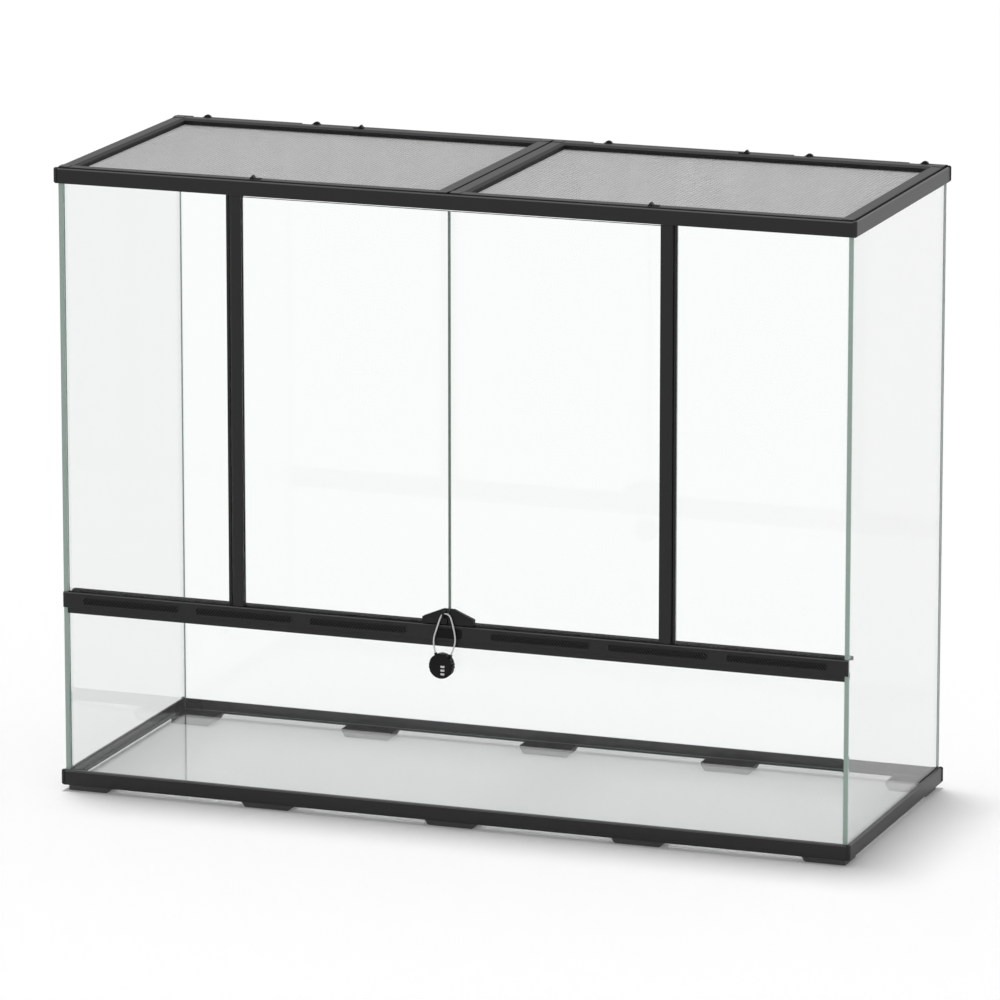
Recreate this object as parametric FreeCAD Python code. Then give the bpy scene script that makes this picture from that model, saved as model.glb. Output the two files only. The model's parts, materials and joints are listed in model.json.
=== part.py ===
import FreeCAD, Part
import math
import os

# Glass terrarium in black rails, with double doors, two screen lids and a hanging cable lock.
# Millimetres, +Z up, front towards -Y, origin on the ground under the middle of the tank.

# Overall sizes
LENGTH = 1180.0
DEPTH = 447.0
GLASS_SPAN = 853.2
FOOT_H = 9.0
GLASS_T = 6.0
DOOR_T = 5.0

# Rails of the base and top frames
RAIL_H = 21.6
RAIL_WALL = 3.0
RAIL_EDGE_R = 2.6
RAIL_FOOT_R = 1.0
RAIL_OVERHANG = 5.0
TURNED_LIP_T = 2.2
FLANGE_T = 3.0
CHANNEL_WALL = 2.5
LEDGE_T = 3.0
LEDGE_W = 20.0
LEDGE_DROP = 12.0
REAR_LIP_W = 7.0
REAR_LIP_RISE = 2.0
FRONT_SETBACK = 3.0
CORNER_W = 4.6
CORNER_PROUD = 1.0
CORNER_R = 4.0
CORNER_FOOT = 1.8
KEY_L = 32.0
KEY_T = 1.8
KEY_CLEAR = 0.2
BASE_KEY_H = 14.0
PANE_TOP_CLEAR = 0.4

# Vent bar across the front
BAR_BOTTOM = 270.3
BAR_H = 22.7
BAR_DEPTH = 30.0
BAR_PROUD = 2.8
BAR_END = 0.0
BAR_WALL = 2.5
BAR_TOP_T = 2.8
BAR_WEB_T = 2.2
BAR_EDGE_R = 2.0
BAR_LIP_DROP = 8.3
BAR_LIP_T = 4.0
BAR_REAR_LIP_DROP = 6.0
BAR_REAR_LIP_T = 2.5
BAR_HEM_H = 6.0
BAR_HEM_T = 2.2
PANE_EDGE_CLEAR = 0.3

# Louvre grilles in the vent bar
GRILLE_FIRST = 61.5
GRILLE_PITCH = 173.0
GRILLE_L = 148.0
GRILLE_H = 12.6
GRILLE_R = 4.0
GRILLE_RIM = 1.6
GRILLE_T = 3.2
GRILLE_PROUD = 0.5
GRILLE_CLEAR = 0.1
SLAT_PITCH = 4.5
SLAT_GAP = 2.4
SLAT_LEAN = 40.0
TAB_W = 5.0
TAB_H = 1.2
TAB_PROUD = 0.4
TAB_SPACING = 46.0
SCREEN_LAP = 2.0
SCREEN_T = 0.6
BADGE_L = 39.0
BADGE_H = 14.0
BADGE_T = 1.0
BADGE_R = 3.0

# Doors and their hinges
HINGE_X = 318.5
STILE_W = 19.0
STILE_T = 12.0
STILE_EDGE_R = 1.5
STILE_GROOVE = 6.0
STILE_GROOVE_CLEAR = 0.1
STILE_CLEAR = 1.0
DOOR_GAP = 1.8
DOOR_TOP_CLEAR = 3.3
DOOR_BOTTOM_CLEAR = 1.5
PIN_D = 4.0
PIN_GRIP = 14.0
PIN_REACH = 4.4
PIN_FIT = 0.02
PIN_RUN = 0.05
BUSH_D = 8.0
BUSH_FIT = 0.05
BUSH_FLANGE_D = 12.0
BUSH_FLANGE_T = 0.9
BLOCK_L = 19.0
BLOCK_CLEAR = 0.1
SEAL_GAP = 0.6
SEAL_W = 3.7

# Door handles
HANDLE_L = 38.0
HANDLE_T = 8.5
HANDLE_LIFT = 2.0
HANDLE_END_H = 9.0
HANDLE_H = 21.5
HANDLE_CREASE_H = 8.5
HANDLE_TOP_T = 4.0
HANDLE_APEX = 8.0
HANDLE_R = 1.2
LEFT_HANDLE_EDGE = 1.0
RIGHT_HANDLE_EDGE = 1.2
EAR_IN = 3.8
EAR_T = 2.7
EYE_H = 15.5
EYE_OUT = 10.5
EYE_D = 5.2
EAR_R = 4.2

# Cable lock hanging on the left handle's eye
CABLE_D = 2.4
CABLE_SIDES = 10
CABLE_ARC_SHARE = 0.45
LOCK_D = 35.8
LOCK_T = 14.0
LOCK_DX = -2.7
LOCK_DZ = -74.4
LOCK_BACK = 0.6
LOCK_CHAMFER = 2.2
GRIP_R = 2.6
GRIP_STEP = 17.0
GRIP_OUT = 1.6
DIAL_D = 13.8
DIAL_T = 2.8
DIAL_PITCH = 5.4
DIAL_SIDE = 3.4
DIAL_PROUD = 0.3
DIAL_CLEAR = 0.4
DIAL_NUMBERS = 10
DIAL_NOTCH_W = 1.0
DIAL_NOTCH_D = 0.6
AXLE_D = 3.0
AXLE_RUN = 0.05
AXLE_FIT = 0.02
AXLE_GRIP = 2.5
FERRULE_D = 4.4
FERRULE_L = 7.0
FERRULE_FIT = 0.03
CABLE_FIT = 0.05

# Lids
LID_GAP = 0.6
LID_SIDE_GAP = 2.6
LID_MEET = 3.2
LID_REST = 0.2
LID_FLAT = 15.3
LID_BEVEL_W = 6.0
LID_BEVEL_H = 2.6
LID_PROUD = 1.9
LID_EDGE_R = 1.0
LID_CORNER_PROUD = 0.6
LID_CORNER_R = 2.5
TENON_L = 10.0
TENON_IN = 5.0
TENON_W = 5.0
TENON_UP = 3.5
TENON_T = 2.5
TENON_CLEAR = 0.1
MESH_T = 0.8
MESH_COLUMNS = 8
MESH_ROWS = 6
MESH_BAR = 16.0
MESH_DROP = 8.6
GROOVE_D = 4.0
GROOVE_CLEAR = 0.15
MESH_EDGE_CLEAR = 0.5
CROSSBAR_W = 40.0
CROSSBAR_H = 8.0
CROSSBAR_R = 2.0
TONGUE_T = 3.0
TONGUE_CLEAR = 0.2

# Lid latches
LATCH_W = 22.0
LATCH_L = 11.0
LATCH_T = 2.4
LATCH_UP = 3.0
LATCH_BACK = 0.6
LATCH_TRAVEL = 3.0
LATCH_CLEAR = 0.2
KEEPER_D = 2.2
STEM_W = 6.0
STEM_L = 4.0
STEM_IN = 5.0
CAP_W = 15.5
CAP_L = 6.0
CAP_T = 1.4
KNOB_W = 7.5
KNOB_H = 4.0
KNOB_R = 0.7

# Sliding cable ports in the rear lip
PORT_END = 29.0
PORT_PAIR = 170.6
PORT_MID = 57.5
PORT_W = 32.0
SLIDER_W = 15.0
SLIDER_T = 1.7
SLIDER_END = 0.8
SLIDER_SIDE = 0.5
SLIDER_TONGUE_W = 2.6
SLIDER_TONGUE_H = 2.6
SLIDER_CLEAR = 0.2
PORT_KNOB_W = 11.0
PORT_KNOB_H = 3.8
PORT_KNOB_T = 4.0

# Feet
FOOT_INSET = 8.0
FOOT_CORNER_L = 65.0
FOOT_CORNER_W = 48.0
FOOT_MID_L = 79.0
FOOT_MID_W = 34.0
FOOT_MID_X = 278.0
FOOT_RAKE = 6.0
FOOT_R = 4.0
FOOT_PAD_CLEAR = 0.2

# Sealant beads
SEAM = 4.0

# Two roundings that meet keep this much flat between them, and closer points than NEAR are the same
ROUND_FLAT = 0.01
NEAR = 1e-6

# Places worked out from the sizes
V = FreeCAD.Vector
X_OUT = LENGTH / 2
Y_OUT = DEPTH / 2
X_GLASS = X_OUT - RAIL_OVERHANG
Y_GLASS = Y_OUT - RAIL_OVERHANG
X_IN = X_GLASS - GLASS_T
Y_REAR_IN = Y_GLASS - GLASS_T
Y_FRONT = -(Y_GLASS - FRONT_SETBACK)
Y_FRONT_IN = Y_FRONT + GLASS_T
FRONT_SEAT = RAIL_OVERHANG + FRONT_SETBACK
Z_BASE = FOOT_H
Z_BASE_TOP = Z_BASE + RAIL_H
Z_SEAT = Z_BASE + FLANGE_T
Z_FLOOR_TOP = Z_SEAT + GLASS_T
Z_TOP = Z_BASE_TOP + GLASS_SPAN
Z_LIP = Z_TOP + RAIL_H
Z_LEDGE = Z_LIP - LEDGE_DROP
Z_CHANNEL = Z_LEDGE - LEDGE_T
Z_PANE_TOP = Z_CHANNEL - PANE_TOP_CLEAR
Z_BAR = BAR_BOTTOM + BAR_H
Y_BAR = -Y_GLASS - BAR_PROUD
Y_HINGE = Y_FRONT + DOOR_T / 2
Z_STILE = Z_BAR + STILE_CLEAR
Z_STILE_TOP = Z_TOP - STILE_CLEAR
STILE_IN = HINGE_X - STILE_W / 2
STILE_OUT = HINGE_X + STILE_W / 2
FIXED_X = STILE_OUT + SEAL_GAP + SEAL_W
Z_HANDLE = Z_BAR + HANDLE_LIFT
Y_HANDLE = Y_FRONT - HANDLE_T
EYE = V(-EAR_IN - EAR_T / 2, Y_FRONT - EYE_OUT, Z_HANDLE + EYE_H)
Z_LID = Z_LEDGE + LID_REST
Z_LID_TOP = Z_LIP + LID_PROUD
Z_MESH = Z_LID_TOP - MESH_DROP
LID_X0 = LID_MEET / 2
LID_X1 = X_OUT - RAIL_WALL - LID_SIDE_GAP
LID_Y0 = -(Y_OUT - RAIL_WALL - LID_GAP)
LID_Y1 = Y_OUT - REAR_LIP_W - LID_GAP
LID_MID = (LID_X0 + LID_X1) / 2
LID_RAIL_W = LID_FLAT + LID_BEVEL_W
Z_LATCH = Z_LID + LATCH_UP
Z_PORT = Z_LIP


def box(x0, x1, y0, y1, z0, z1):
    return Part.makeBox(x1 - x0, y1 - y0, z1 - z0, V(x0, y0, z0))


def rod(start, end, diameter):
    run = end - start
    return Part.makeCylinder(diameter / 2, run.Length, start, run)


def across(y):
    """Puts (u, v) on the plane that faces the front, at y."""
    return lambda u, v: V(u, y, v)


def upright(x):
    """Puts (u, v) on the plane that faces the side, at x."""
    return lambda u, v: V(x, u, v)


def level(z):
    """Puts (u, v) on a level plane, at z."""
    return lambda u, v: V(u, v, z)


def outline(corners, place):
    """A flat face through (u, v, radius) corners, each rounded by its radius."""
    ends = []
    count = len(corners)
    for i in range(count):
        before = V(*corners[i - 1][:2], 0)
        here = V(*corners[i][:2], 0)
        after = V(*corners[(i + 1) % count][:2], 0)
        radius = corners[i][2]
        if radius == 0:
            ends.append([here])
            continue
        back = (before - here).normalize()
        ahead = (after - here).normalize()
        half = back.getAngle(ahead) / 2
        reach = radius / math.tan(half)
        middle = (back + ahead).normalize()
        near = here + middle * (radius / math.sin(half) - radius)
        ends.append([here + back * reach, near, here + ahead * reach])
    edges = []
    for i in range(count):
        spots = [place(p.x, p.y) for p in ends[i]]
        if len(spots) == 3:
            edges.append(Part.Arc(*spots).toShape())
        following = place(ends[(i + 1) % count][0].x, ends[(i + 1) % count][0].y)
        if (following - spots[-1]).Length > NEAR:
            edges.append(Part.makeLine(spots[-1], following))
    return Part.Face(Part.Wire(edges))


def slab(u0, u1, v0, v1, radius):
    """The corners of a rectangle with one radius all round."""
    return [(u0, v0, radius), (u1, v0, radius), (u1, v1, radius), (u0, v1, radius)]


def flip(shape):
    """The same piece on the other side of the tank."""
    return shape.mirror(V(0, 0, 0), V(1, 0, 0))


def flip_back(shape):
    """The same piece at the other end, front to rear."""
    return shape.mirror(V(0, 0, 0), V(0, 1, 0))


def four_corners(shape):
    pair = [shape, flip(shape)]
    return pair + [flip_back(s) for s in pair]


def save(name, *solids):
    shape = solids[0] if len(solids) == 1 else Part.makeCompound(list(solids))
    shape.exportStep(os.path.join("parts", name + ".step"))


# Rails

def mitred(profile, outer, half_length, reach):
    """A front rail with mitred ends and room for its corner joiners."""
    corners = [(u - outer, z, r) for u, z, r in profile]
    rail = outline(corners, upright(-half_length)).extrude(V(2 * half_length, 0, 0))
    short = half_length - reach
    trapezium = [(-half_length, -outer, 0), (half_length, -outer, 0), (short, reach - outer, 0),
                 (-short, reach - outer, 0)]
    height = rail.BoundBox
    mitre = outline(trapezium, level(height.ZMin)).extrude(V(0, 0, height.ZLength))
    rail = rail.common(mitre)
    for x in (-half_length, half_length - CORNER_W):
        rail = rail.cut(box(x, x + CORNER_W, -outer, CORNER_W - outer, height.ZMin, height.ZMax))
    return rail.Solids[0]


def turned(shape, degrees):
    copy = shape.copy()
    copy.rotate(V(0, 0, 0), V(0, 0, 1), degrees)
    return copy


def base_profile(seat):
    return [(0, Z_BASE, RAIL_FOOT_R),
            (seat + GLASS_T, Z_BASE, 0),
            (seat + GLASS_T, Z_SEAT, 0),
            (RAIL_WALL, Z_SEAT, 0),
            (RAIL_WALL, Z_BASE_TOP - TURNED_LIP_T, 0),
            (seat, Z_BASE_TOP - TURNED_LIP_T, 0),
            (seat, Z_BASE_TOP, 0),
            (0, Z_BASE_TOP, RAIL_EDGE_R)]


def top_profile(seat, lip, rise):
    inner = seat + GLASS_T
    return [(0, Z_TOP, RAIL_FOOT_R),
            (seat, Z_TOP, 0),
            (seat, Z_TOP + TURNED_LIP_T, 0),
            (RAIL_WALL, Z_TOP + TURNED_LIP_T, 0),
            (RAIL_WALL, Z_CHANNEL, 0),
            (inner, Z_CHANNEL, 0),
            (inner, Z_TOP, 0),
            (inner + CHANNEL_WALL, Z_TOP, 0),
            (inner + CHANNEL_WALL, Z_CHANNEL, 0),
            (LEDGE_W, Z_CHANNEL, 0),
            (LEDGE_W, Z_LEDGE, 0),
            (lip, Z_LEDGE, 0),
            (lip, Z_LIP + rise, 0),
            (0, Z_LIP + rise, RAIL_EDGE_R)]


def side_pane():
    return box(X_IN, X_GLASS, -Y_GLASS, Y_GLASS, Z_SEAT, Z_PANE_TOP)


def both_side_panes():
    return Part.makeCompound([side_pane(), flip(side_pane())])


def fixed_pane():
    return box(FIXED_X, X_IN, Y_FRONT, Y_FRONT_IN, Z_BAR, Z_PANE_TOP)


def port_starts():
    """Left ends of the cable ports: a pair near each end of the rail and one past the middle."""
    far = X_OUT - PORT_END
    return [-far, -far + PORT_PAIR, PORT_MID, far - PORT_W - PORT_PAIR, far - PORT_W]


def keeper(y0, y1):
    room = LATCH_W / 2 + LATCH_CLEAR
    low = Z_LATCH - LATCH_CLEAR
    slot = box(LID_MID - room, LID_MID + room, y0, y1, low, low + LATCH_T + 2 * LATCH_CLEAR)
    return [slot, flip(slot)]


def make_base_rails():
    reach = FRONT_SEAT + GLASS_T
    front = mitred(base_profile(FRONT_SEAT), Y_OUT, X_OUT, reach).cut(both_side_panes())
    rear = mitred(base_profile(RAIL_OVERHANG), Y_OUT, X_OUT, reach)
    side = mitred(base_profile(RAIL_OVERHANG), X_OUT, Y_OUT, reach)
    save("base_front_rail", front)
    save("base_rear_rail", turned(rear, 180))
    save("base_right_rail", turned(side, 90))
    save("base_left_rail", turned(side, -90))


def make_top_rails():
    front = mitred(top_profile(FRONT_SEAT, RAIL_WALL, 0), Y_OUT, X_OUT, LEDGE_W)
    front = front.cut(both_side_panes())
    lip_in = RAIL_WALL - Y_OUT
    for slot in keeper(lip_in - KEEPER_D, lip_in):
        front = front.cut(slot)
    rear = mitred(top_profile(RAIL_OVERHANG, REAR_LIP_W, REAR_LIP_RISE), Y_OUT, X_OUT, LEDGE_W)
    rear = turned(rear, 180)
    rear_in = Y_OUT - REAR_LIP_W
    for slot in keeper(rear_in, rear_in + KEEPER_D):
        rear = rear.cut(slot)
    groove_y = Y_OUT - REAR_LIP_W / 2
    groove_half = SLIDER_TONGUE_W / 2 + SLIDER_CLEAR
    groove_low = Z_PORT - SLIDER_TONGUE_H - SLIDER_CLEAR
    for start in port_starts():
        end = start + PORT_W
        recess = box(start, end, rear_in, Y_OUT, Z_PORT, Z_PORT + REAR_LIP_RISE)
        groove = box(start, end, groove_y - groove_half, groove_y + groove_half, groove_low, Z_PORT)
        rear = rear.cut(recess).cut(groove)
    side = mitred(top_profile(RAIL_OVERHANG, RAIL_WALL, 0), X_OUT, Y_OUT, LEDGE_W)
    right = turned(side, 90).cut(fixed_pane())
    left = turned(side, -90).cut(flip(fixed_pane()))
    save("top_front_rail", front)
    save("top_rear_rail", rear)
    save("top_right_rail", right)
    save("top_left_rail", left)


def outer_rim(post, z):
    """The edges of a corner post's outer sides at one height."""
    inner_x = CORNER_W - X_OUT - NEAR
    inner_y = CORNER_W - Y_OUT - NEAR
    spots = [(edge, edge.CenterOfMass) for edge in post.Edges]
    return [edge for edge, c in spots if abs(c.z - z) < NEAR and c.x < inner_x and c.y < inner_y]


def corner_joiner(z0, z1, key_z0, key_h):
    """A rounded corner post, a little proud of the rails, with a key that slides into each of them."""
    inner_x = CORNER_W - X_OUT
    inner_y = CORNER_W - Y_OUT
    outer_x = -X_OUT - CORNER_PROUD
    outer_y = -Y_OUT - CORNER_PROUD
    plan = [(outer_x, outer_y, CORNER_R), (inner_x, outer_y, 0), (inner_x, inner_y, 0), (outer_x, inner_y, 0)]
    crown_z = z1 + CORNER_PROUD
    post = outline(plan, level(z0)).extrude(V(0, 0, crown_z - z0))
    post = post.makeFillet(RAIL_EDGE_R, outer_rim(post, crown_z))
    post = post.makeChamfer(CORNER_FOOT, outer_rim(post, z0))
    wall_x = RAIL_WALL - X_OUT
    wall_y = RAIL_WALL - Y_OUT
    key_z1 = key_z0 + key_h
    along_x = box(inner_x, inner_x + KEY_L, wall_y, wall_y + KEY_T, key_z0, key_z1)
    along_y = box(wall_x, wall_x + KEY_T, inner_y, inner_y + KEY_L, key_z0, key_z1)
    return post.fuse([along_x, along_y]).removeSplitter().Solids[0]


def make_corner_joiners():
    base = corner_joiner(Z_BASE, Z_BASE_TOP, Z_SEAT, BASE_KEY_H)
    key_z = Z_TOP + TURNED_LIP_T
    top = corner_joiner(Z_TOP, Z_LIP, key_z, Z_CHANNEL - key_z - KEY_CLEAR)
    save("base_corner_joiners", *four_corners(base))
    save("top_corner_joiners", *four_corners(top))


def make_top_crossbar():
    half = CROSSBAR_W / 2
    y_end = Y_OUT - LEDGE_W
    profile = [(-half, Z_LEDGE, 0), (-half, Z_LEDGE - CROSSBAR_H, CROSSBAR_R),
               (half, Z_LEDGE - CROSSBAR_H, CROSSBAR_R), (half, Z_LEDGE, 0)]
    bar = outline(profile, across(-y_end)).extrude(V(0, 2 * y_end, 0))
    tongue_y = Y_OUT - FRONT_SEAT - GLASS_T - CHANNEL_WALL - TONGUE_CLEAR
    tongue = box(-half, half, -tongue_y, tongue_y, Z_CHANNEL - TONGUE_T, Z_CHANNEL)
    save("top_crossbar", bar.fuse(tongue).removeSplitter().Solids[0])


# Glass and seams

def make_panes():
    save("right_pane", side_pane())
    save("left_pane", flip(side_pane()))
    save("rear_pane", box(-X_IN, X_IN, Y_REAR_IN, Y_GLASS, Z_SEAT, Z_PANE_TOP))
    save("floor_pane", box(-X_IN, X_IN, Y_FRONT_IN, Y_REAR_IN, Z_SEAT, Z_FLOOR_TOP))
    low_top = BAR_BOTTOM - PANE_EDGE_CLEAR
    save("lower_front_pane", box(-X_IN, X_IN, Y_FRONT, Y_FRONT_IN, Z_SEAT, low_top))
    save("right_fixed_pane", fixed_pane())
    save("left_fixed_pane", flip(fixed_pane()))


def make_seams():
    """Sealant beads along the floor and up the corners, each a three-cornered strip."""
    long_x = X_IN - SEAM
    bead_top = Z_FLOOR_TOP + SEAM
    front = [(Y_FRONT_IN, Z_FLOOR_TOP, 0), (Y_FRONT_IN + SEAM, Z_FLOOR_TOP, 0), (Y_FRONT_IN, bead_top, 0)]
    rear = [(Y_REAR_IN, Z_FLOOR_TOP, 0), (Y_REAR_IN - SEAM, Z_FLOOR_TOP, 0), (Y_REAR_IN, bead_top, 0)]
    side = [(X_IN, Z_FLOOR_TOP, 0), (X_IN - SEAM, Z_FLOOR_TOP, 0), (X_IN, bead_top, 0)]
    beads = [outline(c, upright(-long_x)).extrude(V(2 * long_x, 0, 0)) for c in (front, rear)]
    end = outline(side, across(Y_FRONT_IN + SEAM))
    end = end.extrude(V(0, Y_REAR_IN - Y_FRONT_IN - 2 * SEAM, 0))
    rear_up = [(X_IN, Y_REAR_IN, 0), (X_IN - SEAM, Y_REAR_IN, 0), (X_IN, Y_REAR_IN - SEAM, 0)]
    front_up = [(X_IN, Y_FRONT_IN, 0), (X_IN - SEAM, Y_FRONT_IN, 0), (X_IN, Y_FRONT_IN + SEAM, 0)]
    rear_bead = outline(rear_up, level(bead_top)).extrude(V(0, 0, Z_TOP - bead_top))
    low_top = BAR_BOTTOM - BAR_REAR_LIP_DROP
    low_bead = outline(front_up, level(bead_top)).extrude(V(0, 0, low_top - bead_top))
    high_bead = outline(front_up, level(Z_BAR)).extrude(V(0, 0, Z_TOP - Z_BAR))
    for bead in (end, rear_bead, low_bead, high_bead):
        beads += [bead, flip(bead)]
    save("sealant_seams", *beads)


# Vent bar

def grille_centres():
    """Middles of the grilles on the right half; the left half mirrors them."""
    half = X_GLASS - BAR_END
    count = int((half - GRILLE_FIRST + GRILLE_PITCH - GRILLE_L) // GRILLE_PITCH)
    return [GRILLE_FIRST + GRILLE_L / 2 + i * GRILLE_PITCH for i in range(count)]


def grille_z():
    return BAR_BOTTOM + BAR_H / 2


def bar_profile():
    y_back = Y_BAR + BAR_DEPTH
    top = Z_BAR - BAR_TOP_T
    web = BAR_BOTTOM + BAR_WEB_T
    return [(Y_BAR, BAR_BOTTOM, RAIL_FOOT_R),
            (Y_FRONT - BAR_LIP_T, BAR_BOTTOM, 0),
            (Y_FRONT - BAR_LIP_T, BAR_BOTTOM - BAR_LIP_DROP, RAIL_FOOT_R),
            (Y_FRONT, BAR_BOTTOM - BAR_LIP_DROP, 0),
            (Y_FRONT, BAR_BOTTOM, 0),
            (Y_FRONT_IN, BAR_BOTTOM, 0),
            (Y_FRONT_IN, BAR_BOTTOM - BAR_REAR_LIP_DROP, 0),
            (Y_FRONT_IN + BAR_REAR_LIP_T, BAR_BOTTOM - BAR_REAR_LIP_DROP, 0),
            (Y_FRONT_IN + BAR_REAR_LIP_T, web, 0),
            (Y_BAR + BAR_WALL, web, 0),
            (Y_BAR + BAR_WALL, top, 0),
            (y_back - BAR_HEM_T, top, 0),
            (y_back - BAR_HEM_T, Z_BAR - BAR_HEM_H, 0),
            (y_back, Z_BAR - BAR_HEM_H, 0),
            (y_back, Z_BAR, 0),
            (Y_BAR, Z_BAR, BAR_EDGE_R)]


def make_vent_bar():
    half = X_GLASS - BAR_END
    bar = outline(bar_profile(), upright(-half)).extrude(V(2 * half, 0, 0))
    y_back = Y_BAR + BAR_DEPTH
    z_low = BAR_BOTTOM - BAR_LIP_DROP
    behind = box(X_IN, X_OUT, -Y_GLASS - PANE_EDGE_CLEAR, y_back, z_low, Z_BAR)
    below = box(X_IN, X_OUT, Y_BAR, y_back, z_low, BAR_BOTTOM)
    for end in (behind, below):
        bar = bar.cut(end).cut(flip(end))
    z = grille_z()
    room_l = GRILLE_L / 2 + GRILLE_CLEAR
    room_h = GRILLE_H / 2 + GRILLE_CLEAR
    for x in grille_centres():
        window = slab(x - room_l, x + room_l, z - room_h, z + room_h, GRILLE_R)
        hole = outline(window, across(Y_BAR)).extrude(V(0, BAR_WALL, 0))
        bar = bar.cut(hole).cut(flip(hole))
    for x in (-HINGE_X, HINGE_X):
        bar = bar.cut(rod(V(x, Y_HINGE, Z_BAR - BAR_TOP_T), V(x, Y_HINGE, Z_BAR), BUSH_D))
    save("vent_bar", bar.Solids[0])


def louvre_grille(x):
    """One grille: a rounded rim with raked slats, and three clip tabs on its upper edge."""
    z = grille_z()
    y = Y_BAR - GRILLE_PROUD
    rim_l = GRILLE_L / 2
    rim_h = GRILLE_H / 2
    plate = outline(slab(x - rim_l, x + rim_l, z - rim_h, z + rim_h, GRILLE_R), across(y))
    plate = plate.extrude(V(0, GRILLE_T, 0))
    half_l = GRILLE_L / 2 - GRILLE_RIM
    half_h = GRILLE_H / 2 - GRILLE_RIM
    field = outline(slab(x - half_l, x + half_l, z - half_h, z + half_h, GRILLE_R - GRILLE_RIM), across(y))
    field = field.extrude(V(0, GRILLE_T, 0))
    lean = half_h * math.tan(math.radians(SLAT_LEAN))
    count = int((half_l + lean) // SLAT_PITCH)
    gaps = []
    for i in range(-count, count + 1):
        left = x + i * SLAT_PITCH - SLAT_GAP / 2
        right = left + SLAT_GAP
        raked = [(left + lean, z - half_h, 0), (right + lean, z - half_h, 0),
                 (right - lean, z + half_h, 0), (left - lean, z + half_h, 0)]
        gaps.append(outline(raked, across(y)).extrude(V(0, GRILLE_T, 0)))
    slots = Part.makeCompound(gaps).common(field)
    tabs = []
    for step in (-TAB_SPACING, 0, TAB_SPACING):
        left = x + step - TAB_W / 2
        tabs.append(box(left, left + TAB_W, y - TAB_PROUD, y, z + rim_h - TAB_H, z + rim_h))
    return plate.cut(slots).fuse(tabs).removeSplitter().Solids[0]


def make_grilles():
    grilles = []
    screens = []
    z = grille_z()
    y = Y_BAR - GRILLE_PROUD + GRILLE_T
    half_l = GRILLE_L / 2 + SCREEN_LAP
    half_h = GRILLE_H / 2 + SCREEN_LAP
    for x in grille_centres():
        sheet = box(x - half_l, x + half_l, y, y + SCREEN_T, z - half_h, z + half_h)
        grille = louvre_grille(x)
        grilles += [grille, flip(grille)]
        screens += [sheet, flip(sheet)]
    save("vent_grilles", *grilles)
    save("vent_screens", *screens)


def make_badge_plate():
    z = grille_z()
    half_l = BADGE_L / 2
    half_h = BADGE_H / 2
    face = outline(slab(-half_l, half_l, z - half_h, z + half_h, BADGE_R), across(Y_BAR - BADGE_T))
    save("badge_plate", face.extrude(V(0, BADGE_T, 0)))


# Doors

def hinge_bush(x):
    low = V(x, Y_HINGE, Z_BAR - BAR_TOP_T)
    seat = V(x, Y_HINGE, Z_BAR)
    crown = V(x, Y_HINGE, Z_BAR + BUSH_FLANGE_T)
    bush = rod(low, seat, BUSH_D - 2 * BUSH_FIT).fuse(rod(seat, crown, BUSH_FLANGE_D)).removeSplitter()
    return bush.cut(rod(low, crown, PIN_D + 2 * PIN_RUN)).Solids[0]


def hinge_block(x):
    y0 = Y_FRONT + BLOCK_CLEAR
    y1 = Y_FRONT_IN - BLOCK_CLEAR
    block = box(x - BLOCK_L / 2, x + BLOCK_L / 2, y0, y1, Z_TOP, Z_CHANNEL)
    bore = rod(V(x, Y_HINGE, Z_TOP), V(x, Y_HINGE, Z_CHANNEL), PIN_D + 2 * PIN_RUN)
    return block.cut(bore).Solids[0]


def make_hinge_fittings():
    save("hinge_bushes", hinge_bush(-HINGE_X), hinge_bush(HINGE_X))
    save("hinge_blocks", hinge_block(-HINGE_X), hinge_block(HINGE_X))
    seal = box(FIXED_X - SEAL_W, FIXED_X, Y_FRONT, Y_FRONT_IN, Z_BAR, Z_PANE_TOP)
    save("hinge_seals", seal, flip(seal))


def stile():
    """The right door's hinge stile: round outside, grooved inside for the glass."""
    y0 = Y_HINGE - STILE_T / 2
    y1 = Y_HINGE + STILE_T / 2
    nose = STILE_T / 2 - ROUND_FLAT
    plan = [(STILE_IN, y0, STILE_EDGE_R), (STILE_OUT, y0, nose), (STILE_OUT, y1, nose),
            (STILE_IN, y1, STILE_EDGE_R)]
    post = outline(plan, level(Z_STILE)).extrude(V(0, 0, Z_STILE_TOP - Z_STILE))
    slot = DOOR_T / 2 + STILE_GROOVE_CLEAR
    groove_end = STILE_IN + STILE_GROOVE
    post = post.cut(box(STILE_IN, groove_end, Y_HINGE - slot, Y_HINGE + slot, Z_STILE, Z_STILE_TOP))
    hole = PIN_D + 2 * PIN_FIT
    for z0, z1 in ((Z_STILE, Z_STILE + PIN_GRIP), (Z_STILE_TOP - PIN_GRIP, Z_STILE_TOP)):
        post = post.cut(rod(V(HINGE_X, Y_HINGE, z0), V(HINGE_X, Y_HINGE, z1), hole))
    return post.Solids[0]


def hinge_pins():
    foot = V(HINGE_X, Y_HINGE, Z_STILE - PIN_REACH)
    head = V(HINGE_X, Y_HINGE, Z_STILE_TOP + PIN_REACH)
    lower = rod(foot, V(HINGE_X, Y_HINGE, Z_STILE + PIN_GRIP), PIN_D)
    upper = rod(V(HINGE_X, Y_HINGE, Z_STILE_TOP - PIN_GRIP), head, PIN_D)
    return [lower, upper]


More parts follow.
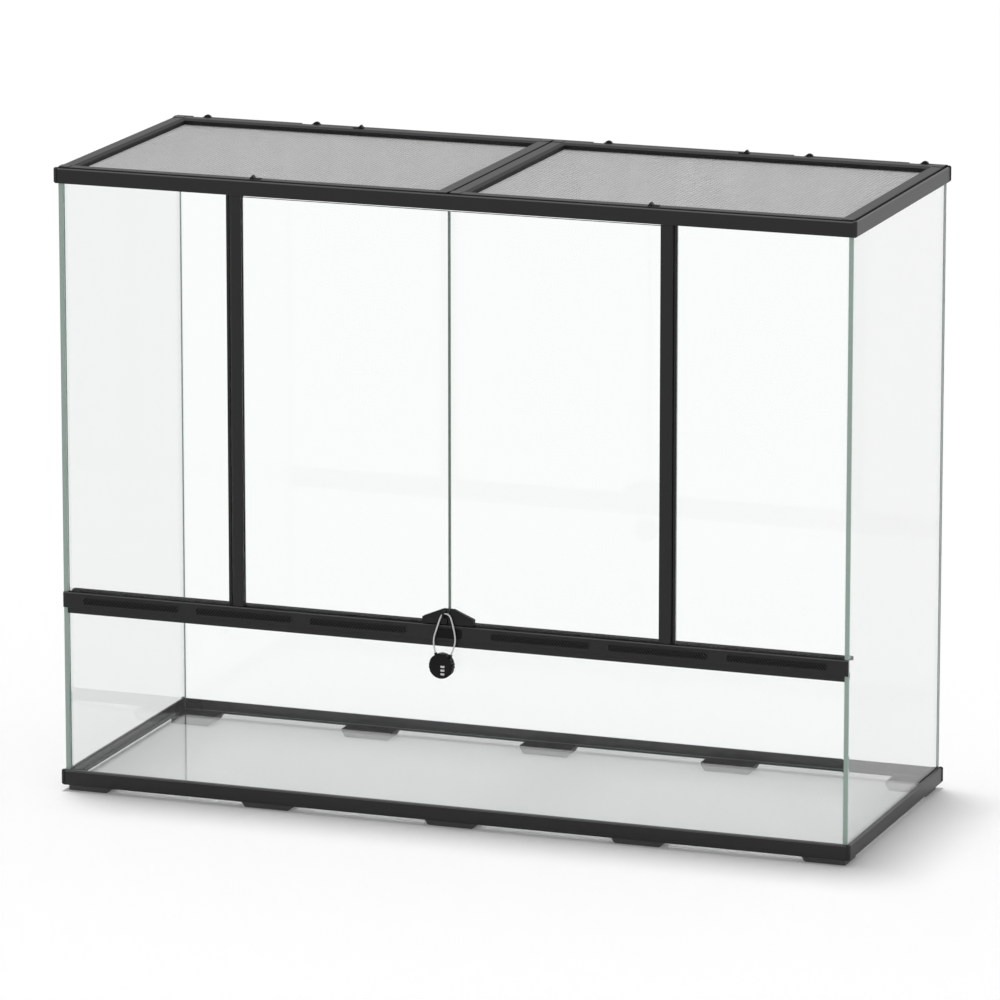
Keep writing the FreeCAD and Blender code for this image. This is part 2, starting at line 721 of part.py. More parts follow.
def handle_body(inner):
    """A left handle's block up to its inner edge; its upper face leans back to the glass."""
    z0 = Z_HANDLE
    z1 = Z_HANDLE + HANDLE_H
    section = [(Y_FRONT, z0, 0), (Y_HANDLE, z0, HANDLE_R), (Y_HANDLE, z0 + HANDLE_CREASE_H, HANDLE_R),
               (Y_FRONT - HANDLE_TOP_T, z1, HANDLE_R), (Y_FRONT, z1, 0)]
    block = outline(section, upright(-HANDLE_L)).extrude(V(HANDLE_L, 0, 0))
    front = [(-HANDLE_L, z0, HANDLE_R), (-inner, z0, 0), (-inner, z1, 0), (-HANDLE_APEX, z1, HANDLE_R),
             (-HANDLE_L, z0 + HANDLE_END_H, HANDLE_R)]
    return block.common(outline(front, across(Y_HANDLE)).extrude(V(0, HANDLE_T, 0))).Solids[0]


def left_handle():
    """The handle with an ear in front of it, whose eye carries the lock's cable."""
    ear_low = Z_HANDLE + HANDLE_CREASE_H
    nose = EAR_R - ROUND_FLAT
    ear = [(Y_FRONT, ear_low, 0), (Y_HANDLE, ear_low, 0), (EYE.y - EAR_R, EYE.z - EAR_R, nose),
           (EYE.y - EAR_R, EYE.z + EAR_R, nose), (Y_FRONT, EYE.z + EAR_R, 0)]
    web = outline(ear, upright(-EAR_IN - EAR_T)).extrude(V(EAR_T, 0, 0))
    handle = handle_body(LEFT_HANDLE_EDGE).fuse(web).removeSplitter()
    eye = rod(V(-EAR_IN - EAR_T, EYE.y, EYE.z), V(-EAR_IN, EYE.y, EYE.z), EYE_D)
    return handle.cut(eye).Solids[0]


def make_doors():
    z0 = Z_BAR + DOOR_BOTTOM_CLEAR
    z1 = Z_TOP - DOOR_TOP_CLEAR
    pane = box(DOOR_GAP / 2, STILE_IN + STILE_GROOVE, Y_FRONT, Y_FRONT + DOOR_T, z0, z1)
    save("right_door_pane", pane)
    save("left_door_pane", flip(pane))
    save("right_hinge_stile", stile())
    save("left_hinge_stile", flip(stile()))
    save("right_hinge_pins", *hinge_pins())
    save("left_hinge_pins", *[flip(pin) for pin in hinge_pins()])
    save("left_handle", left_handle())
    save("right_handle", flip(handle_body(RIGHT_HANDLE_EDGE)))


# Cable lock

# The cable's route from its left socket through the eye to its right socket, as (x, z) from the eye
CABLE_ROUTE = [(-11.6, -59.0), (-17.2, -43.5), (-11.4, -19.6), (-5.0, -2.4), (0.0, 0.9),
               (3.6, -2.6), (4.2, -18.6), (13.6, -45.6), (10.0, -60.4)]


def lock_centre():
    return V(EYE.x + LOCK_DX, EYE.y - LOCK_BACK, EYE.z + LOCK_DZ)


def cable_points():
    return [V(EYE.x + x, EYE.y, EYE.z + z) for x, z in CABLE_ROUTE]


def cable_path(points):
    """Straight runs joined by arcs as large as the runs allow; prints the arcs' radii."""
    edges = []
    radii = []
    start = points[0]
    for before, here, after in zip(points, points[1:], points[2:]):
        back = (before - here).normalize()
        ahead = (after - here).normalize()
        half = back.getAngle(ahead) / 2
        shorter = min((before - here).Length, (after - here).Length)
        reach = CABLE_ARC_SHARE * shorter
        radius = reach * math.tan(half)
        radii.append(round(radius, 1))
        near = here + (back + ahead).normalize() * (radius / math.sin(half) - radius)
        enter = here + back * reach
        leave = here + ahead * reach
        edges.append(Part.makeLine(start, enter))
        edges.append(Part.Arc(enter, near, leave).toShape())
        start = leave
    edges.append(Part.makeLine(start, points[-1]))
    print("cable radii", radii)
    return Part.Wire(edges)


def make_cable():
    points = cable_points()
    path = cable_path(points)
    along = (points[1] - points[0]).normalize()
    level_out = V(0, CABLE_D / 2, 0)
    side_out = along.cross(level_out)
    turns = [2 * math.pi * i / CABLE_SIDES for i in range(CABLE_SIDES)]
    corners = [points[0] + level_out * math.cos(t) + side_out * math.sin(t) for t in turns]
    ring = Part.makePolygon(corners + corners[:1])
    cable = path.makePipeShell([ring], True, False)
    section = Part.Face(ring).Area
    print("cable length", round(path.Length, 1), "volume over section times length",
          round(cable.Volume / (section * path.Length), 4))
    save("lock_cable", cable.Solids[0])


def ferrule_axis(end, inner):
    """Start and end of the sleeve that takes a cable end, measured along the cable's last run."""
    along = (end - inner).normalize()
    mouth = end - along * CABLE_D
    return mouth, mouth + along * FERRULE_L


def ferrules():
    points = cable_points()
    sleeves = []
    for end, inner in ((points[0], points[1]), (points[-1], points[-2])):
        mouth, seat = ferrule_axis(end, inner)
        bore = rod(mouth, end, CABLE_D + 2 * CABLE_FIT)
        sleeves.append(rod(mouth, seat, FERRULE_D).cut(bore).Solids[0])
    return sleeves


def dial_places():
    """Middle of each number dial, from the top one down."""
    c = lock_centre()
    y = c.y - LOCK_T / 2 - DIAL_PROUD + DIAL_D / 2
    return [V(c.x + DIAL_SIDE, y, c.z - i * DIAL_PITCH) for i in range(3)]


def dial(place):
    """A number dial: a flat for each number, with a notch between one flat and the next."""
    low = place - V(0, 0, DIAL_T / 2)
    high = place + V(0, 0, DIAL_T / 2)
    step = 2 * math.pi / DIAL_NUMBERS
    half_notch = DIAL_NOTCH_W / DIAL_D
    rim = []
    for i in range(DIAL_NUMBERS):
        turn = (i + 0.5) * step
        for swing, depth in ((-half_notch, 0), (0, DIAL_NOTCH_D), (half_notch, 0)):
            radius = DIAL_D / 2 - depth
            rim.append((place.x + radius * math.sin(turn + swing), place.y - radius * math.cos(turn + swing), 0))
    wheel = outline(rim, level(low.z)).extrude(V(0, 0, DIAL_T))
    return wheel.cut(rod(low, high, AXLE_D + 2 * AXLE_RUN)).Solids[0]


def axle_ends():
    places = dial_places()
    reach = DIAL_T / 2 + DIAL_CLEAR / 2 + AXLE_GRIP
    return places[-1] - V(0, 0, reach), places[0] + V(0, 0, reach)


def lock_disc():
    """The lock's body before it is split: a thick disc with finger grips and room for its works."""
    c = lock_centre()
    front = V(c.x, c.y - LOCK_T / 2, c.z)
    disc = Part.makeCylinder(LOCK_D / 2, LOCK_T, front, V(0, 1, 0))
    rims = [e for e in disc.Edges if isinstance(e.Curve, Part.Circle)]
    disc = disc.makeChamfer(LOCK_CHAMFER, rims)
    for side in (0, 180):
        for step in (-1, 0, 1):
            turn = math.radians(side + step * GRIP_STEP)
            out = LOCK_D / 2 + GRIP_OUT
            spot = front + V(out * math.cos(turn), 0, out * math.sin(turn))
            disc = disc.cut(Part.makeCylinder(GRIP_R, LOCK_T, spot, V(0, 1, 0)))
    for place in dial_places():
        half = DIAL_T / 2 + DIAL_CLEAR / 2
        disc = disc.cut(rod(place - V(0, 0, half), place + V(0, 0, half), DIAL_D + 2 * DIAL_CLEAR))
    disc = disc.cut(rod(*axle_ends(), AXLE_D + 2 * AXLE_FIT))
    points = cable_points()
    for end, inner in ((points[0], points[1]), (points[-1], points[-2])):
        disc = disc.cut(rod(*ferrule_axis(end, inner), FERRULE_D + 2 * FERRULE_FIT))
    return disc


def make_lock():
    c = lock_centre()
    disc = lock_disc()
    r = LOCK_D
    ahead = box(c.x - r, c.x + r, c.y - LOCK_T, c.y, c.z - r, c.z + r)
    save("lock_front_shell", disc.common(ahead).Solids[0])
    save("lock_back_shell", disc.cut(ahead).Solids[0])
    save("lock_ferrules", *ferrules())
    save("lock_axle", rod(*axle_ends(), AXLE_D))
    for name, place in zip(("upper", "middle", "lower"), dial_places()):
        save("lock_dial_" + name, dial(place))
    make_cable()


# Lids

def lid_profile(grooved):
    """A lid rail's section as (inward, z): flat outside, then a bevel and a wall down to the mesh."""
    low = Z_MESH - MESH_T - GROOVE_CLEAR
    high = Z_MESH + GROOVE_CLEAR
    corners = [(0, Z_LID, 0), (LID_RAIL_W, Z_LID, 0)]
    if grooved:
        corners += [(LID_RAIL_W, low, 0), (LID_RAIL_W - GROOVE_D, low, 0), (LID_RAIL_W - GROOVE_D, high, 0),
                    (LID_RAIL_W, high, 0)]
    return corners + [(LID_RAIL_W, Z_LID_TOP - LID_BEVEL_H, 0), (LID_FLAT, Z_LID_TOP, LID_EDGE_R),
                      (0, Z_LID_TOP, LID_EDGE_R)]


def lid_corners(clear):
    """The lid's four moulded corners with their tenons, grown by a clearance when they cut the rails."""
    size = LID_FLAT
    top = Z_LID_TOP + LID_CORNER_PROUD
    tip = size + TENON_L + clear
    near = TENON_IN - clear
    far = TENON_IN + TENON_W + clear
    low = Z_LID + TENON_UP - clear
    high = Z_LID + TENON_UP + TENON_T + clear
    plan = [(0, 0, LID_CORNER_R), (size, 0, 0), (size, size, 0), (0, size, 0)]
    block = outline(plan, level(Z_LID)).extrude(V(0, 0, top - Z_LID))
    if clear:
        block = box(0, size, 0, size, Z_LID, top)
    tenons = [box(size, tip, near, far, low, high), box(near, far, size, tip, low, high)]
    corner = block.fuse(tenons).removeSplitter().Solids[0]
    front = [corner.translated(V(LID_X0, LID_Y0, 0)), flip(corner).translated(V(LID_X1, LID_Y0, 0))]
    middle = V(0, (LID_Y0 + LID_Y1) / 2, 0)
    return front + [c.mirror(middle, V(0, 1, 0)) for c in front]


def lid_side_rails(grooved):
    section = lid_profile(grooved)
    run = V(0, LID_Y1 - LID_Y0, 0)
    outer = outline([(LID_X1 - u, z, r) for u, z, r in section], across(LID_Y0)).extrude(run)
    inner = outline([(LID_X0 + u, z, r) for u, z, r in section], across(LID_Y0)).extrude(run)
    return [rail.cut(lid_corners(TENON_CLEAR)).Solids[0] for rail in (outer, inner)]


def latch_room(front):
    """The hollow in a cross rail that a latch slides in, for the front rail or the rear one."""
    half = LATCH_W / 2 + LATCH_CLEAR
    inner = LATCH_BACK + LATCH_L + LATCH_CLEAR
    low = Z_LATCH - LATCH_CLEAR
    high = Z_LATCH + LATCH_T + LATCH_CLEAR
    bolt = box(LID_MID - half, LID_MID + half, 0, inner, low, high)
    stem_half = STEM_W / 2 + LATCH_CLEAR
    stem_y0 = STEM_IN - LATCH_TRAVEL - LATCH_CLEAR
    stem_y1 = STEM_IN + STEM_L + LATCH_CLEAR
    stem = box(LID_MID - stem_half, LID_MID + stem_half, stem_y0, stem_y1, Z_LATCH, Z_LID_TOP)
    return seat_latch(bolt.fuse(stem), front)


def seat_latch(shape, front):
    """Puts a piece made with y as the distance in from the lid's edge at the front or rear edge."""
    if front:
        return shape.translated(V(0, LID_Y0, 0))
    copy = shape.copy()
    copy.rotate(V(LID_MID, 0, 0), V(0, 0, 1), 180)
    return copy.translated(V(0, LID_Y1, 0))


def latch(front):
    """A sliding bolt with a stem, a cap and a pointed finger knob."""
    half = LATCH_W / 2
    inner = LATCH_BACK + LATCH_L
    bolt = box(LID_MID - half, LID_MID + half, LATCH_BACK, inner, Z_LATCH, Z_LATCH + LATCH_T)
    cap_z = Z_LID_TOP + LATCH_CLEAR
    crown = cap_z + CAP_T
    cap_x = LID_MID - STEM_W / 2
    cap_y = STEM_IN + STEM_L / 2 - CAP_L / 2
    stem = box(cap_x, cap_x + STEM_W, STEM_IN, STEM_IN + STEM_L, Z_LATCH, crown)
    cap = box(cap_x, cap_x + CAP_W, cap_y, cap_y + CAP_L, cap_z, crown)
    knob = [(cap_x, crown, 0), (cap_x + KNOB_W, crown, 0), (cap_x + KNOB_W / 2, crown + KNOB_H, KNOB_R)]
    knob = outline(knob, across(cap_y)).extrude(V(0, CAP_L, 0))
    return seat_latch(bolt.fuse([stem, cap, knob]).removeSplitter().Solids[0], front)


def lid_cross_rails():
    plain = Part.makeCompound(lid_side_rails(False))
    x0 = LID_X0 + LID_FLAT
    run = V(LID_X1 - LID_FLAT - x0, 0, 0)
    section = lid_profile(True)
    front = outline([(LID_Y0 + u, z, r) for u, z, r in section], upright(x0)).extrude(run)
    rear = outline([(LID_Y1 - u, z, r) for u, z, r in section], upright(x0)).extrude(run)
    hollows = [plain] + lid_corners(TENON_CLEAR)
    rails = [front.cut(hollows + [latch_room(True)]), rear.cut(hollows + [latch_room(False)])]
    return [max(rail.Solids, key=lambda s: s.Volume) for rail in rails]


def lid_mesh():
    """The screen as a sheet with a plain grid of openings that leaves about as much open as woven wire."""
    inset = LID_RAIL_W - GROOVE_D + MESH_EDGE_CLEAR
    low = level(Z_MESH - MESH_T)
    sheet = outline(slab(LID_X0 + inset, LID_X1 - inset, LID_Y0 + inset, LID_Y1 - inset, 0), low)
    step_x = (LID_X1 - LID_X0 - 2 * LID_RAIL_W) / MESH_COLUMNS
    step_y = (LID_Y1 - LID_Y0 - 2 * LID_RAIL_W) / MESH_ROWS
    holes = []
    for i in range(MESH_COLUMNS):
        x = LID_X0 + LID_RAIL_W + i * step_x + MESH_BAR / 2
        for j in range(MESH_ROWS):
            y = LID_Y0 + LID_RAIL_W + j * step_y + MESH_BAR / 2
            holes.append(outline(slab(x, x + step_x - MESH_BAR, y, y + step_y - MESH_BAR, 0), low))
    return sheet.cut(Part.makeCompound(holes)).extrude(V(0, 0, MESH_T)).Solids[0]


def make_lids():
    pieces = {"lid_side_rails": lid_side_rails(True), "lid_cross_rails": lid_cross_rails(),
              "lid_corners": lid_corners(0), "lid_mesh": [lid_mesh()]}
    for name, solids in pieces.items():
        save("right_" + name, *solids)
        save("left_" + name, *[flip(s) for s in solids])
    across_lids = V(-2 * LID_MID, 0, 0)
    for name, front in (("front", True), ("rear", False)):
        piece = latch(front)
        save("right_lid_" + name + "_latch", piece)
        save("left_lid_" + name + "_latch", piece.translated(across_lids))


# Cable ports and feet

def port_slider(start):
    """A shutter at the right end of its port, with a tongue below and a round finger tab above."""
    x1 = start + PORT_W - SLIDER_END
    x0 = x1 - SLIDER_W
    y = Y_OUT - REAR_LIP_W / 2
    half = REAR_LIP_W / 2 - SLIDER_SIDE
    plate = box(x0, x1, y - half, y + half, Z_PORT, Z_PORT + SLIDER_T)
    tongue_half = SLIDER_TONGUE_W / 2
    tongue = box(x0, x1, y - tongue_half, y + tongue_half, Z_PORT - SLIDER_TONGUE_H, Z_PORT)
    middle = (x0 + x1) / 2
    tab_y = y - PORT_KNOB_T / 2
    tab_z = Z_PORT + SLIDER_T
    left = V(middle - PORT_KNOB_W / 2, tab_y, tab_z)
    right = V(middle + PORT_KNOB_W / 2, tab_y, tab_z)
    bow = Part.Arc(left, V(middle, tab_y, tab_z + PORT_KNOB_H), right).toShape()
    tab = Part.Face(Part.Wire([bow, Part.makeLine(right, left)])).extrude(V(0, PORT_KNOB_T, 0))
    return plate.fuse([tongue, tab]).removeSplitter().Solids[0]


def make_port_sliders():
    for i, start in enumerate(port_starts()):
        save("port_slider_" + str(i + 1), port_slider(start))


def foot(x0, x1, width, rake):
    """A foot under the front rail, raked at its right end and, if asked, at its left end too."""
    y0 = FOOT_INSET - Y_OUT
    y1 = y0 + width
    left = (x0 + rake, 0, FOOT_R if rake else 0)
    side = [(x0, FOOT_H, 0), left, (x1 - FOOT_RAKE, 0, FOOT_R), (x1, FOOT_H, 0)]
    block = outline(side, across(y0)).extrude(V(0, width, 0))
    pad_x = max(x0, -X_IN + FOOT_PAD_CLEAR)
    pad = box(pad_x, x1, Y_FRONT_IN + FOOT_PAD_CLEAR, y1, FOOT_H, Z_SEAT)
    return block.fuse(pad).removeSplitter().Solids[0]


def make_feet():
    x0 = FOOT_INSET - X_OUT
    feet = four_corners(foot(x0, x0 + FOOT_CORNER_L, FOOT_CORNER_W, 0))
    for x in (-FOOT_MID_X, 0, FOOT_MID_X):
        block = foot(x - FOOT_MID_L / 2, x + FOOT_MID_L / 2, FOOT_MID_W, FOOT_RAKE)
        feet += [block, flip_back(block)]
    save("feet", *feet)


os.makedirs("parts", exist_ok=True)
make_base_rails()
make_top_rails()
make_corner_joiners()
make_top_crossbar()
make_panes()
make_seams()
make_vent_bar()
make_grilles()
make_badge_plate()
make_hinge_fittings()
make_doors()
make_lock()
make_lids()
make_port_sliders()
make_feet()
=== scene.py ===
import json
import math

import bpy
from bpy.props import FloatProperty, FloatVectorProperty, IntProperty, PointerProperty
from bpy.types import Operator, Panel, PropertyGroup
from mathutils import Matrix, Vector

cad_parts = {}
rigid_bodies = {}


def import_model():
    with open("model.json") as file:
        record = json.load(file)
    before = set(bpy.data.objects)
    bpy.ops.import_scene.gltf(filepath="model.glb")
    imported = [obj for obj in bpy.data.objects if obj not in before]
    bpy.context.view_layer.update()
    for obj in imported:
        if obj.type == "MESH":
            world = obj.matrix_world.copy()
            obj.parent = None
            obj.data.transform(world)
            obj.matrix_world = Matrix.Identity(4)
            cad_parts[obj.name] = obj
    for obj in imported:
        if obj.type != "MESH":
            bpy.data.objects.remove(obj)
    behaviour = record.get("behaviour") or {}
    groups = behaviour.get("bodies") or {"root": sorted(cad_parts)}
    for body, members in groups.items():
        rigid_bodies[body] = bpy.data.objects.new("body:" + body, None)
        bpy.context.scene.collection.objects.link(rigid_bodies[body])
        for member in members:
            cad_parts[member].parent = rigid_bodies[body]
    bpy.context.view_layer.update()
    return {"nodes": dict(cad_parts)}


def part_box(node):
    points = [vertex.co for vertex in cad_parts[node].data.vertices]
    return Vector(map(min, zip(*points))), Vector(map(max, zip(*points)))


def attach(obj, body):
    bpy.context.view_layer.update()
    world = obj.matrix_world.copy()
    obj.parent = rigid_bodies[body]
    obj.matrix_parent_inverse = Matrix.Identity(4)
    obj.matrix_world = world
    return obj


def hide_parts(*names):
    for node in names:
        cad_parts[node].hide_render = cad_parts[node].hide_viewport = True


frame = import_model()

bl_info = {
    "name": "Glass Terrarium",
    "version": (1, 0, 0),
    "blender": (4, 5, 0),
    "location": "View3D > Sidebar > Terrarium",
    "description": "Dresses a glass terrarium with screens, a cable lock and finishes",
    "category": "Object",
}

SIDES = ("left", "right")
ENDS = ("front", "rear")
DIALS = ("upper", "middle", "lower")
PORTS = 5

# The camera: where it stands and what it looks at in metres, its lens and film in millimetres
CAMERA_PLACE = (3.54235, -9.71111, 2.81423)
CAMERA_AIM = (-0.0040, 0.0, 0.4248)
CAMERA_LENS = 269.0
CAMERA_FILM = 36.0

# The key light: the way towards it, its width in degrees and its strength
KEY_TOWARDS = (-0.075, 0.06, 1.0)
KEY_SPREAD = 9.0
KEY_STRENGTH = 1.5

# The eye that the lock's cable hangs from, and the cable's route as (x, z) from it, in metres
EYE = Vector((-0.00515, -0.2260, 0.3105))
CABLE_ROUTE = [(-0.0116, -0.0590), (-0.0174, -0.0432), (-0.0094, -0.0184), (-0.0040, -0.0026),
               (0.0004, 0.0008), (0.0088, -0.0006), (0.0124, -0.0102), (0.0176, -0.0324),
               (0.0162, -0.0456), (0.0100, -0.0604)]

# Scales of the rails' drawing lines by axis: long along the rail, fine across it
LINES_ALONG_X = (3.0, 900.0, 900.0)
LINES_ALONG_Y = (900.0, 3.0, 900.0)
LINES_ALONG_Z = (900.0, 900.0, 3.0)

# The faces of a rounded upper edge that get the painted highlight:
# how far up they look, as the normal's z, and how much they differ
EDGE_LEAN = 0.65
EDGE_REACH = 0.30
# The normal's share along an axis past which a face counts as looking along it
FACING = 0.5

GRAIN_HEIGHT = 0.0002
GROUND_BORDER = 0.0011  # along the left door's free edge
LID_TOP = 0.0003  # thickness of the layer that counts as a lid's top
HAIR = 0.00012  # by which glass and beads are drawn in from the panes that they touch

NUMBERS = 10  # on a dial
NUMBER_LIFT = 0.00004  # off the dial's flats
FONT_PER_HEIGHT = 1.4  # font size over the height of its digits


def length(name, description, default):
    return FloatProperty(name=name, description=description, default=default, unit="LENGTH",
                         precision=5)


def colour(name, description, default):
    return FloatVectorProperty(name=name, description=description, default=default,
                               subtype="COLOR", size=3, min=0.0, max=1.0)


class TerrariumSizes(PropertyGroup):
    warp_pitch: length("Warp Pitch", "Between the screens' wires that run front to rear", 0.00575)
    warp_wire: length("Warp Wire", "Diameter of the wires that run front to rear", 0.0009)
    fine_pitch: length("Fine Pitch", "Between the fine wires among those", 0.0014375)
    fine_wire: length("Fine Wire", "Diameter of the fine wires among those", 0.0004)
    weft_pitch: length("Weft Pitch", "Between the screens' wires that run side to side", 0.0016)
    weft_wire: length("Weft Wire", "Diameter of the wires that run side to side", 0.0004)
    wire_sides: IntProperty(name="Wire Sides", description="Flat sides round each wire",
                            default=4, min=3)
    cable: length("Lock Cable", "Diameter of the lock's cable", 0.0024)
    digit: length("Dial Digit", "Height of the numbers on the lock's dials", 0.0019)


class TerrariumColours(PropertyGroup):
    rail: colour("Rail", "Black anodised rails", (0.010, 0.010, 0.0105))
    # Painted light: a lighter copy of the rail black, lifting the shade near the floor
    base_rail: colour("Base Rail", "Black anodised rails of the base", (0.017, 0.017, 0.0175))
    # A painted highlight: the rounded upper edges are lighter, as the light they catch
    rubbed: colour("Painted Edge Highlight", "Rounded upper edges of the rails, rubbed lighter",
                   (0.075, 0.075, 0.076))
    plastic: colour("Plastic", "Moulded black fittings", (0.008, 0.008, 0.0085))
    # Feet: partly a lighter plastic, partly painted light against the shade near the floor
    foot: colour("Foot", "Moulded feet, a little lighter", (0.085, 0.085, 0.086))
    glass: colour("Glass", "Tint of the front, rear and floor panes", (0.974, 0.985, 0.980))
    side_glass: colour("Side Glass", "Tint of the side panes", (0.892, 0.898, 0.895))
    glass_edge: colour("Glass Edge", "Cut edges of the side panes", (0.36, 0.47, 0.415))
    inner_edge: colour("Inner Edge", "Cut edges of the panes between them", (0.18, 0.275, 0.230))
    # Painted shade: level cut edges along the bar and rails are near black, as they lie in shade
    level_edge: colour("Level Edge", "Cut edges along the bar and the rails",
                       (0.012, 0.020, 0.017))
    sealant: colour("Sealant", "Clear beads in the corners", (0.94, 0.965, 0.955))
    rubber: colour("Rubber", "Black strips beside the doors", (0.010, 0.010, 0.010))
    # Same steel: the weft and fine wires are painted darker, as shade under the stout wires
    warp: colour("Warp", "Stout screen wires", (0.66, 0.66, 0.66))
    weft: colour("Weft", "Fine screen wires, both ways", (0.60, 0.60, 0.60))
    # The gauze is real mesh, and its black is painted shade for the dark inside the vent bar
    vent_screen: colour("Vent Screen", "Blackened gauze behind the grilles",
                        (0.010, 0.010, 0.010))
    steel: colour("Steel", "Pins, axle and cable", (0.60, 0.60, 0.60))
    sleeve: colour("Sleeve", "Blackened sleeves on the cable's ends", (0.030, 0.030, 0.031))
    lock: colour("Lock", "Case of the cable lock", (0.005, 0.005, 0.005))
    dial: colour("Dial", "White number dials", (0.86, 0.86, 0.85))
    ink: colour("Ink", "Numbers on the dials", (0.02, 0.02, 0.02))


# Node trees

class Nodes:
    """A node tree that is built one node at a time."""

    def __init__(self, tree):
        self.tree = tree

    def put(self, socket, value):
        """Gives a socket its value: a number, another node's output or a list of outputs."""
        for item in value if isinstance(value, list) else [value]:
            if isinstance(item, bpy.types.NodeSocket):
                self.tree.links.new(item, socket)
            else:
                socket.default_value = item

    def node(self, kind, values=None, **settings):
        node = self.tree.nodes.new(kind)
        for name, value in settings.items():
            setattr(node, name, value)
        for socket, value in (values or {}).items():
            self.put(node.inputs[socket], value)
        return node

    def math(self, operation, *values):
        return self.node("ShaderNodeMath", dict(enumerate(values)), operation=operation).outputs[0]

    def between(self, factor, low, high):
        """A number that goes from low to high with the factor."""
        return self.node("ShaderNodeMapRange",
                         {"Value": factor, "To Min": low, "To Max": high}).outputs[0]

    def background_rays(self):
        """1 for the rays that show the background: the camera's, and those of gloss and glass."""
        path = self.node("ShaderNodeLightPath").outputs
        seen = path["Is Camera Ray"]
        for other in ("Is Glossy Ray", "Is Transmission Ray"):
            seen = self.math("MAXIMUM", seen, path[other])
        return seen


# Materials

class Finish(Nodes):
    """A material; `shader` is its Principled BSDF, which starts with the given constants."""

    def __init__(self, name, constants=None):
        self.material = bpy.data.materials.new(name)
        self.material.use_nodes = True
        super().__init__(self.material.node_tree)
        self.shader = self.tree.nodes["Principled BSDF"]
        for socket, value in (constants or {}).items():
            self.set(socket, value)
        self.place = self.node("ShaderNodeTexCoord").outputs

    def set(self, socket, value):
        self.put(self.shader.inputs[socket], value)

    def along(self, source, axis):
        """One axis of the place ("Object") or of the way that the face looks ("Normal")."""
        return self.node("ShaderNodeSeparateXYZ", {"Vector": self.place[source]}).outputs[axis]

    def looks_along(self, axis):
        """1 on the faces that look along the axis, either way."""
        return self.math("GREATER_THAN", self.math("ABSOLUTE", self.along("Normal", axis)), FACING)

    def stretched(self, source, scale):
        """Texture coordinates scaled by axis."""
        return self.node("ShaderNodeMapping",
                         {"Vector": self.place[source], "Scale": scale}).outputs[0]

    def noise(self, scale, detail=3.0, stretch=None):
        where = self.stretched("Object", stretch) if stretch else self.place["Object"]
        return self.node("ShaderNodeTexNoise",
                         {"Vector": where, "Scale": scale, "Detail": detail}).outputs[0]

    def mix(self, factor, first, second):
        """A colour between two, each given as numbers or as another node's output."""
        node = self.node("ShaderNodeMix", {0: factor}, data_type="RGBA")
        for socket, tone in ((6, first), (7, second)):
            is_made = isinstance(tone, bpy.types.NodeSocket)
            self.put(node.inputs[socket], tone if is_made else (*tone, 1.0))
        return node.outputs[2]

    def vary(self, factor, base, low, high):
        """The base colour, darker and lighter with the factor."""
        return self.mix(factor, shade(base, low), shade(base, high))

    def bump(self, height, strength, distance=GRAIN_HEIGHT):
        node = self.node("ShaderNodeBump",
                         {"Height": height, "Strength": strength, "Distance": distance})
        self.set("Normal", node.outputs[0])


def shade(colour_value, share):
    return tuple(min(1.0, c * share) for c in colour_value)


def rail_finish(name, base, lines, matt=None, rubbed=None):
    """Satin black anodising over lengthwise drawing lines.

    matt gives (source, limit, roughness below, roughness above): the roughness by height
    ("Object") or by facing up ("Normal"). The last argument is the colour of a highlight
    painted on the rounded upper edges.
    """
    finish = Finish(name, {"Specular IOR Level": 0.30})
    drawn = finish.noise(1.0, 4.0, lines)
    tone = finish.vary(drawn, base, 0.8, 1.2)
    # Painted highlight on the rounded upper edges
    if rubbed:
        is_edge = finish.math("COMPARE", finish.along("Normal", 2), EDGE_LEAN, EDGE_REACH)
        tone = finish.mix(is_edge, tone, rubbed)
    finish.set("Base Color", tone)
    satin = finish.between(drawn, 0.30, 0.40)
    if matt:
        source, limit, low, high = matt
        is_above = finish.math("GREATER_THAN", finish.along(source, 2), limit)
        spread = finish.between(drawn, -0.05, 0.05)
        satin = finish.math("ADD", finish.between(is_above, low, high), spread)
    finish.set("Roughness", satin)
    finish.bump(finish.noise(2600.0, 2.0), 0.06)
    return finish.material


def plastic_finish(name, base, rough, grain, depth, gloss=0.35):
    """A moulded skin with a fine spark-eroded grain."""
    finish = Finish(name, {"Specular IOR Level": gloss})
    cloud = finish.noise(45.0)
    finish.set("Base Color", finish.vary(cloud, base, 0.85, 1.15))
    finish.set("Roughness", finish.between(cloud, *rough))
    finish.bump(finish.noise(grain, 2.0), depth)
    return finish.material


def moulded_finish(name, base, gloss=0.35):
    """The plain skin of the fittings."""
    return plastic_finish(name, base, rough=(0.42, 0.54), grain=1900.0, depth=0.12, gloss=gloss)


def glass_finish(name, face, edge, level_edge, axis, clear=None):
    """Clear float glass: see-through where it looks along the axis, green on the upright cut edges.

    clear gives (axis, test, limit) for the part of the faces inside their ground border.
    """
    finish = Finish(name, {"IOR": 1.3})
    is_face = finish.looks_along(axis)
    if clear:
        across, test, limit = clear
        is_inside = finish.math(test, finish.along("Object", across), limit)
        is_face = finish.math("MULTIPLY", is_face, is_inside)
    is_level = finish.looks_along(2)
    edge_tone = finish.vary(finish.noise(260.0, 2.0), edge, 0.88, 1.12)
    # Painted shade on the level cut edges
    edge_tone = finish.mix(is_level, edge_tone, level_edge)
    finish.set("Base Color", finish.mix(is_face, edge_tone, face))
    finish.set("Transmission Weight", is_face)
    is_edge = finish.math("SUBTRACT", 1.0, is_face)
    ground = finish.between(is_level, 0.25, 0.9)
    finish.set("Roughness", finish.math("MULTIPLY", is_edge, ground))
    return finish.material


